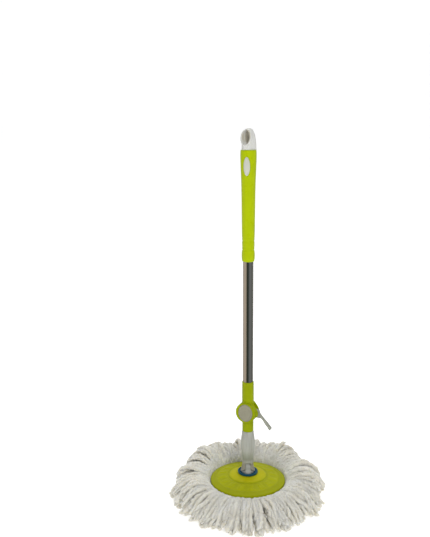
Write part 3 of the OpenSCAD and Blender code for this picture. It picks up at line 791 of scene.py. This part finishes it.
def build_disc():
    top = rounded([(8.06, 53), (23.2, 53), (28, 52.2), (40.5, 49.2), (43, 47.5), (45.8, 48.1), (52, 47.0), (66.5, 43.9), (68.4, 43.0), (70.4, 43.3), (81.6, 39.6),
                   (83, 38.0), (83, 31.5), (80.9, 31.5), (80.9, 37), (74, 37.8), (50, 41.8), (38, 44), (34, 45.4), (26, 48.4), (22, 49.6), (12, 49.6), (12, 37.6), (8.06, 37.6)],
                  [0.4, 1.2, 3, 3, 1.2, 1.4, 6, 1.0, 1.0, 1.2, 1.4, 1.2, 0.4, 0.4, 1, 2, 4, 2, 2, 2, 1, 0.5, 0.2, 0.2], 4)
    n = 720
    # more rings on the outer zone, so that its pattern is in the mesh
    P = []
    for i, p in enumerate(top):
        q = top[(i + 1) % len(top)]
        m = max(1, int(math.hypot(q[0] - p[0], q[1] - p[1]) / 1.1)) if 38 < p[0] < 84 and p[1] > 39 else 1
        for k in range(m):
            P.append((p[0] + (q[0] - p[0]) * k / m, p[1] + (q[1] - p[1]) * k / m))

    def relief(V, a):
        r = np.hypot(V[..., 0], V[..., 1])
        up = V[..., 2] > 39.2
        # sixteen soft pads round the outer zone
        k = 16
        ph = ((a - VIEW_AZ + math.pi / 2 + 0.11) * k / TAU) % 1.0 - 0.5
        across = (ph[None] * TAU / k * r) / 5.6
        along = (r - 57.5) / 8.5
        q = np.sqrt(across ** 4 + along ** 4) ** 0.5
        V[..., 2] += np.where(up, 0.95 * np.clip((1.0 - q) / 0.35, 0, 1) ** 0.7, 0)
        # notches round the rim
        ph2 = (a * 48 / TAU) % 1.0 - 0.5
        nt = np.clip((0.16 - np.abs(ph2)) / 0.06, 0, 1)[None]
        low = (r > 82) & (V[..., 2] < 37)
        V[..., 2] += np.where(low, 1.5 * nt, 0)
        V[..., 2] += np.where(up & (r > 79.5), -0.35 * nt, 0)
        return V
    o = lathe("plate_body", P, M_DISC, n, 50, True, relief)
    o2 = lathe("plate_skirt", rounded([(55.5, 26), (57.6, 26), (58.4, 27.2), (57.6, 28.6), (57.6, 41), (55.5, 41.4)], 0.3, 2), M_DISC, 128, 50)
    done(o2, "head", "disc_lime")
    return done(o, "head", "disc_lime", "mop_disc")


# ---------------------------------------------------------------- yarn

RHO = 4.4                      # half width of a strand
VIEW_AZ = math.radians(24.0)   # the side the mop is seen from
LOCKS = 37


def envelope(r, th):
    """Height of the yarn's top surface."""
    # 0 on the near side, 1 on the far side
    b = 0.5 - 0.5 * (np.sin(VIEW_AZ) * np.cos(th) - np.cos(VIEW_AZ) * np.sin(th))
    near = np.interp(r, [60, 82, 88, 100, 115, 132, 148, 160, 170], [30, 33, 40.5, 42.5, 42, 37, 29, 21, 13])
    far = np.interp(r, [60, 82, 89, 100, 115, 132, 148, 160, 170], [30, 34, 48, 60, 70, 73, 66, 52, 32])
    lump = 3.5 * np.sin(5 * th + 0.7) + 3.0 * np.sin(9 * th + 2.1) + 2.5 * np.sin(14 * th + 4.0)
    return near * (1 - b) + far * b + lump * np.clip((r - 90) / 45, 0, 1) * (0.3 + 0.7 * b)


def strand_paths():
    rng = np.random.default_rng(7)
    # locks that the strands hang together in
    gap = rng.uniform(0.6, 1.4, LOCKS)
    mid = np.cumsum(gap) / gap.sum() * TAU
    reach = rng.uniform(-7.0, 7.0, LOCKS)
    lift = rng.normal(0, 0.06, LOCKS)
    lean = rng.normal(0, 0.03, LOCKS)
    rows = [(122, 80.5, 26.8, 1.00), (116, 79.0, 20.0, 0.80), (104, 77.5, 13.4, 0.52), (84, 75.0, 6.2, 0.14)]
    n = 24
    P, row_of = [], []
    for k, (count, r0, z0, f) in enumerate(rows):
        for i in range(count):
            th0 = (i + rng.uniform(-0.28, 0.28) + 0.27 * k) * TAU / count
            gapd = (mid - th0 + math.pi) % TAU - math.pi
            j = int(np.argmin(np.abs(gapd)))
            # the strands spread further on the near side
            dn = (th0 - (VIEW_AZ - math.pi / 2) + math.pi) % TAU - math.pi
            # the middle of a lock hangs out furthest
            point = 1.0 - min(1.0, abs(gapd[j]) / (0.5 * gap[j] / gap.sum() * TAU))
            tip = 157.5 + reach[j] + 14.0 * point + rng.uniform(-4, 4) + 14.0 * math.exp(-(dn / 0.55) ** 2)
            if k < 2 and rng.random() < 0.15:
                tip -= rng.uniform(8, 26)
            s = np.linspace(0, 1, n)
            x = s * (tip - r0)
            r = r0 + x
            # sideways lean, wave and a curl at the tip
            amp = rng.uniform(0.4, 1.9)
            ph = rng.uniform(0, TAU)
            wl = rng.uniform(38, 80)
            curl = rng.normal(0, 5.0) * np.clip((s - 0.6) / 0.4, 0, 1) ** 2
            side = (lean[j] + rng.normal(0, 0.022)) * x + amp * np.sin(x / wl * TAU + ph) * np.clip(s / 0.25, 0, 1) + curl
            pull = 0.52 * np.clip((s - 0.45) / 0.55, 0, 1) ** 1.5
            th = th0 + pull * gapd[j] + side / r
            H = envelope(r, th)
            ff = np.clip(f + (rng.normal(0, 0.06) + lift[j] * f) * np.clip((r - 92) / 30, 0, 1), 0.02, 1.2)
            z = RHO + ff * (H - 2 * RHO)
            w = np.clip(x / 11.0, 0, 1)
            w = w * w * (3 - 2 * w)
            z = z0 * (1 - w) + z * w
            if k == 0:
                z = z + rng.uniform(-3, 5) * np.clip((s - 0.3) / 0.5, 0, 1)
            P.append(np.stack([r * np.cos(th), r * np.sin(th), np.maximum(z, RHO)], -1))
            row_of.append(k)
    return np.array(P), np.array(row_of)


def relax(P, steps):
    """Lets the strands push each other, the floor and the plate's rim apart, and sag a little, at fixed length."""
    from mathutils.kdtree import KDTree
    N, n, _ = P.shape
    rest = P.copy()
    seg = np.linalg.norm(np.diff(P, axis=1), axis=2)
    strand = np.repeat(np.arange(N), n)
    node = np.tile(np.arange(n), N)
    D = 2 * RHO * 0.66
    fine = 0.74 + 0.26 * np.clip((np.tile(np.arange(n), N) - 3) / 6.0, 0, 1)
    pairs = None
    for it in range(steps):
        if it % 6 == 0:
            flat = P.reshape(-1, 3)
            kd = KDTree(len(flat))
            for i, p in enumerate(flat):
                kd.insert(p, i)
            kd.balance()
            a, b = [], []
            for i, p in enumerate(flat):
                for _, j, d in kd.find_range(p, D * 1.15):
                    if j > i:
                        a.append(i)
                        b.append(j)
            a, b = np.array(a), np.array(b)
            keep = (strand[a] != strand[b]) & ((node[a] > 2) | (node[b] > 2))
            pairs = a[keep], b[keep]
        flat = P.reshape(-1, 3)
        a, b = pairs
        v = flat[a] - flat[b]
        d = np.linalg.norm(v, axis=1)
        over = np.clip(D * np.minimum(fine[a], fine[b]) - d, 0, None)
        push = v / np.maximum(d, 1e-6)[:, None] * (over * 0.32)[:, None]
        mv = np.zeros_like(flat)
        cnt = np.ones(len(flat))
        np.add.at(mv, a, push)
        np.add.at(mv, b, -push)
        np.add.at(cnt, a, over > 0)
        np.add.at(cnt, b, over > 0)
        flat = flat + mv / np.sqrt(cnt)[:, None]
        P = flat.reshape(N, n, 3)
        P[:, 3:, 2] -= 0.06
        P[:, 3:] += 0.045 * (rest[:, 3:] - P[:, 3:])
        # smooth and keep the length
        P[:, 2:-1] += 0.12 * (0.5 * (P[:, 1:-2] + P[:, 3:]) - P[:, 2:-1])
        for odd in (0, 1, 0, 1):
            v = P[:, 1 + odd::2] - P[:, odd:-1:2][:, :P[:, 1 + odd::2].shape[1]]
            d = np.linalg.norm(v, axis=2, keepdims=True)
            t = seg[:, odd::2][:, :v.shape[1], None]
            c = 0.5 * (d - t) / np.maximum(d, 1e-6) * v
            P[:, 1 + odd::2] -= c
            P[:, odd:-1:2][:, :v.shape[1]] += c
        P[:, :3] = rest[:, :3]
        # the floor, and the plate's rim above the roots
        P[..., 2] = np.maximum(P[..., 2], RHO * 0.92)
        r = np.hypot(P[..., 0], P[..., 1])
        near = (r < 83 + RHO) & (P[..., 2] > 31.5 - RHO)
        P[..., 2] = np.where(near & (r < 82), np.minimum(P[..., 2], 31.5 - RHO), P[..., 2])
        k = np.where(near & (r >= 82), (83 + RHO * 0.8) / np.maximum(r, 1e-6), 1.0)
        P[..., 0] *= k
        P[..., 1] *= k
        out = np.where(r > 182, 182 / np.maximum(r, 1e-6), 1.0)
        P[..., 0] *= out
        P[..., 1] *= out
    return P


def resample(C, m):
    """Catmull-Rom through the rows of C, m points each."""
    N, n, _ = C.shape
    E = np.concatenate([2 * C[:, :1] - C[:, 1:2], C, 2 * C[:, -1:] - C[:, -2:-1]], 1)
    u = np.linspace(0, n - 1 - 1e-6, m)
    i = u.astype(int)
    t = (u - i)[None, :, None]
    p0, p1, p2, p3 = E[:, i], E[:, i + 1], E[:, i + 2], E[:, i + 3]
    return 0.5 * (2 * p1 + (p2 - p0) * t + (2 * p0 - 5 * p1 + 4 * p2 - p3) * t**2 + (3 * p1 - p0 - 3 * p2 + p3) * t**3)


def build_yarn():
    P, row_of = strand_paths()
    P = relax(P, 90)
    m, q = ((60, 10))
    C = resample(P, m)
    N = len(C)
    T = np.gradient(C, axis=1)
    T /= np.linalg.norm(T, axis=2, keepdims=True)
    # frames carried along each strand
    U = np.zeros_like(C)
    up = np.tile(np.array([0, 0, 1.0]), (N, 1))
    u = np.cross(up, T[:, 0])
    u /= np.linalg.norm(u, axis=1, keepdims=True)
    for k in range(m):
        u = u - (u * T[:, k]).sum(1, keepdims=True) * T[:, k]
        u /= np.linalg.norm(u, axis=1, keepdims=True)
        U[:, k] = u
    W = np.cross(T, U)
    ds = np.linalg.norm(np.diff(C, axis=1), axis=2)
    S = np.concatenate([np.zeros((N, 1)), np.cumsum(ds, 1)], 1)
    L = S[:, -1:]
    rng = np.random.default_rng(11)
    base = rng.uniform(0.86, 1.12, (N, 1)) * RHO
    phase = rng.uniform(0, TAU, (N, 1))
    pitch = rng.uniform(20, 30, (N, 1))
    swell = 1 + 0.08 * np.sin(S / rng.uniform(11, 22, (N, 1)) * TAU + phase) + 0.05 * rng.standard_normal((N, m))
    grow = 0.78 + 0.26 * np.clip(S / 45.0, 0, 1)
    # the last part tapers to a soft, round end
    e = np.clip((L - S) / 5.0, 0, 1)
    tip = np.sqrt(np.clip(1 - (1 - e) ** 2, 0, 1)) * (0.66 + 0.34 * np.clip((L - S) / 22.0, 0, 1))
    tip = np.maximum(tip, 0.04)
    R = base * swell * grow * tip
    phi = np.arange(q) * TAU / q
    tw = (S / pitch * TAU + phase)[..., None]
    lobe = 1 + 0.12 * np.cos(2 * (phi - tw)) + 0.15 * np.clip(rng.standard_normal((N, m, q)), -1.6, 1.6)
    rad = R[..., None] * lobe
    # neighbours press the strands a little flat against the floor
    V = C[:, :, None] + rad[..., None] * (np.cos(phi)[None, None, :, None] * U[:, :, None] + np.sin(phi)[None, None, :, None] * W[:, :, None])
    V[..., 2] = np.maximum(V[..., 2], 0.15)
    objs = []
    for k in range(4):
        sel = V[row_of == k]
        M = len(sel)
        f = np.array(grid_faces(m, q, False, True))
        faces = (f[None] + (np.arange(M) * m * q)[:, None, None]).reshape(-1, 4).tolist()
        caps = []
        for i in range(M):
            o = i * m * q
            caps.append([o + j for j in range(q)])
            caps.append([o + (m - 1) * q + j for j in range(q - 1, -1, -1)])
        o = make(f"yarn_row_{k + 1}", sel.reshape(-1, 3), faces + caps, M_YARN, 0)
        if sum(p.area * p.normal.dot(p.center - Vector(sel[0, m // 2].mean(0) * MM)) for p in list(o.data.polygons)[q * (m // 2):q * (m // 2 + 1)]) < 0:
            o.data.flip_normals()
        objs.append(o)
    return objs


# ---------------------------------------------------------------- build everything

build_grip()
build_badge()
build_cap()
build_collar()
build_boss()
build_lever()
build_socket()
build_knuckle()
build_dish()
build_disc()
yarn = build_yarn()
for i, o in enumerate(yarn):
    if i == 0:
        done(o, "head", "yarn", "yarn_fringe")
    else:
        done(o, "head", "yarn")


# ---------------------------------------------------------------- stage, light and camera

def stage_mat():
    m = Mat("paper_white")
    m.colour(m.ramp(m.noise(0.8, 2), [(0.3, (0.86, 0.86, 0.86)), (0.7, (0.88, 0.88, 0.88))]))
    m.rough(m.span(m.noise(3, 2), 0.85, 0.95))
    m.b.inputs["Specular IOR Level"].default_value = 0.1
    m.b.inputs["Emission Color"].default_value = (1, 1, 1, 1)
    m.b.inputs["Emission Strength"].default_value = 0.50
    return m.m


def build_stage():
    # floor that curves up into a backdrop, seen from the camera's side
    d = 7000.0
    prof = [(-3500, 0), (2200, 0)]
    for k in range(1, 13):
        a = k / 12 * math.pi / 2
        prof.append((2200 + 1800 * math.sin(a), 1800 * (1 - math.cos(a))))
    prof.append((4000, 7000))
    V, F = [], []
    for y, z in prof:
        V += [(-d, y, z), (d, y, z)]
    for i in range(len(prof) - 1):
        F.append([2 * i, 2 * i + 1, 2 * i + 3, 2 * i + 2])
    o = make("stage_floor", V, F, stage_mat(), 0)
    o.data.transform(Matrix.Rotation(VIEW_AZ, 4, "Z"))


build_stage()

def surround_mat():
    """Plain studio screens round the object, that only glossy surfaces see."""
    m = Mat("studio_screens")
    x, y, z = m.xyz()
    # 0 to 1 once round, starting behind the object
    a = m.math("DIVIDE", m.math("ADD", m.math("ARCTAN2", x, m.math("MULTIPLY", y, -1.0)), math.pi), TAU)
    v = [(0.00, 0.26, 0.25, 0.23), (0.10, 0.36, 0.33, 0.29), (0.19, 0.62, 0.53, 0.43), (0.37, 0.56, 0.47, 0.37), (0.40, 0.05, 0.055, 0.04),
         (0.515, 0.035, 0.045, 0.035), (0.545, 0.17, 0.185, 0.185), (0.68, 0.22, 0.225, 0.22), (0.76, 0.12, 0.12, 0.10), (0.86, 0.34, 0.35, 0.32), (1.00, 0.26, 0.25, 0.23)]
    c = m.ramp(a, [(k[0], k[1:]) for k in v])
    e = m.n("ShaderNodeEmission")
    m.link(c, e.inputs[0])
    m.link(e.outputs[0], m.out.inputs[0])
    m.t.nodes.remove(m.b)
    return m.m


def build_surround():
    # the screens curve in over the floor, so that the steel never mirrors bare white floor
    n = 96
    a = np.arange(n) * TAU / n
    rings = [(205.0, 2.0), (420.0, 12.0), (560.0, 60.0), (620.0, 160.0), (620.0, 1150.0)]
    V = [(R * math.cos(t), R * math.sin(t), h) for R, h in rings for t in a]
    F = [[k * n + i, k * n + (i + 1) % n, (k + 1) * n + (i + 1) % n, (k + 1) * n + i] for k in range(len(rings) - 1) for i in range(n)]
    o = make("stage_screens", V, F, surround_mat(), 0)
    o.rotation_euler = (0, 0, VIEW_AZ)
    o.visible_camera = o.visible_diffuse = o.visible_shadow = o.visible_transmission = False


build_surround()


def far_mat():
    m = Mat("paper_far")
    c = m.ramp(m.noise(0.5, 2), [(0.3, (0.985, 0.985, 0.985)), (0.7, (1.0, 1.0, 1.0))])
    e = m.n("ShaderNodeEmission")
    m.link(c, e.inputs[0])
    m.link(e.outputs[0], m.out.inputs[0])
    m.t.nodes.remove(m.b)
    return m.m


def build_far():
    # pale shell far round the studio, so that the backdrop is plain from every side; it lights nothing
    n, k, R = 64, 24, 6600.0
    a = np.arange(n) * TAU / n
    V = [(R * math.cos(e) * math.cos(t), R * math.cos(e) * math.sin(t), R * math.sin(e)) for e in np.linspace(-1.45, 1.45, k) for t in a]
    F = [[i * n + j, i * n + (j + 1) % n, (i + 1) * n + (j + 1) % n, (i + 1) * n + j] for i in range(k - 1) for j in range(n)]
    F += [list(range(n))[::-1], [(k - 1) * n + j for j in range(n)]]
    o = make("stage_far", V, F, far_mat(), 0)
    o.visible_diffuse = o.visible_glossy = o.visible_shadow = o.visible_transmission = False


build_far()

scene = bpy.context.scene
scene.view_settings.view_transform = "Standard"
w = bpy.data.worlds.new("soft_room")
w.use_nodes = True
bg = w.node_tree.nodes["Background"]
bg.inputs[0].default_value = (0.96, 0.98, 1.0, 1)
bg.inputs[1].default_value = 0.30
scene.world = w


def lamp(name, az, el, dist, size, power, aim=(0, 0, 0.35), colour=(1, 1, 1)):
    d = bpy.data.lights.new(name, "AREA")
    d.shape = "RECTANGLE"
    d.size, d.size_y = size
    d.energy = power
    d.color = colour
    o = bpy.data.objects.new(name, d)
    a, e = math.radians(az), math.radians(el)
    p = Vector((math.sin(a) * math.cos(e), -math.cos(a) * math.cos(e), math.sin(e))) * dist + Vector(aim)
    o.location = p
    o.rotation_euler = (Vector(aim) - p).to_track_quat("-Z", "Y").to_euler()
    scene.collection.objects.link(o)
    return o


lamp("key", 24 + 16, 36, 2.8, (1.0, 1.5), 30, colour=(1.0, 0.99, 0.965))
lamp("fill", 24 - 60, 30, 2.8, (1.6, 1.8), 9)
lamp("top", 24 + 170, 66, 2.6, (1.6, 1.4), 24)

cam = bpy.data.cameras.new("camera")
cam.sensor_width = 36
cam.lens = 49.6
cam.clip_end = 50
co = bpy.data.objects.new("camera", cam)
D, RIGHT, H, PITCH, ROLL = 1.532, 0.0702, 0.824, math.radians(11.3), math.radians(0.38)
f = Vector((-math.sin(VIEW_AZ), math.cos(VIEW_AZ), 0))
rt = Vector((math.cos(VIEW_AZ), math.sin(VIEW_AZ), 0))
co.location = -f * D - rt * RIGHT + Vector((0, 0, H))
aim = f * math.cos(PITCH) + Vector((0, 0, -math.sin(PITCH)))
co.rotation_euler = (aim.to_track_quat("-Z", "Y").to_matrix() @ Matrix.Rotation(-ROLL, 3, "Z")).to_euler()
scene.collection.objects.link(co)
scene.camera = co
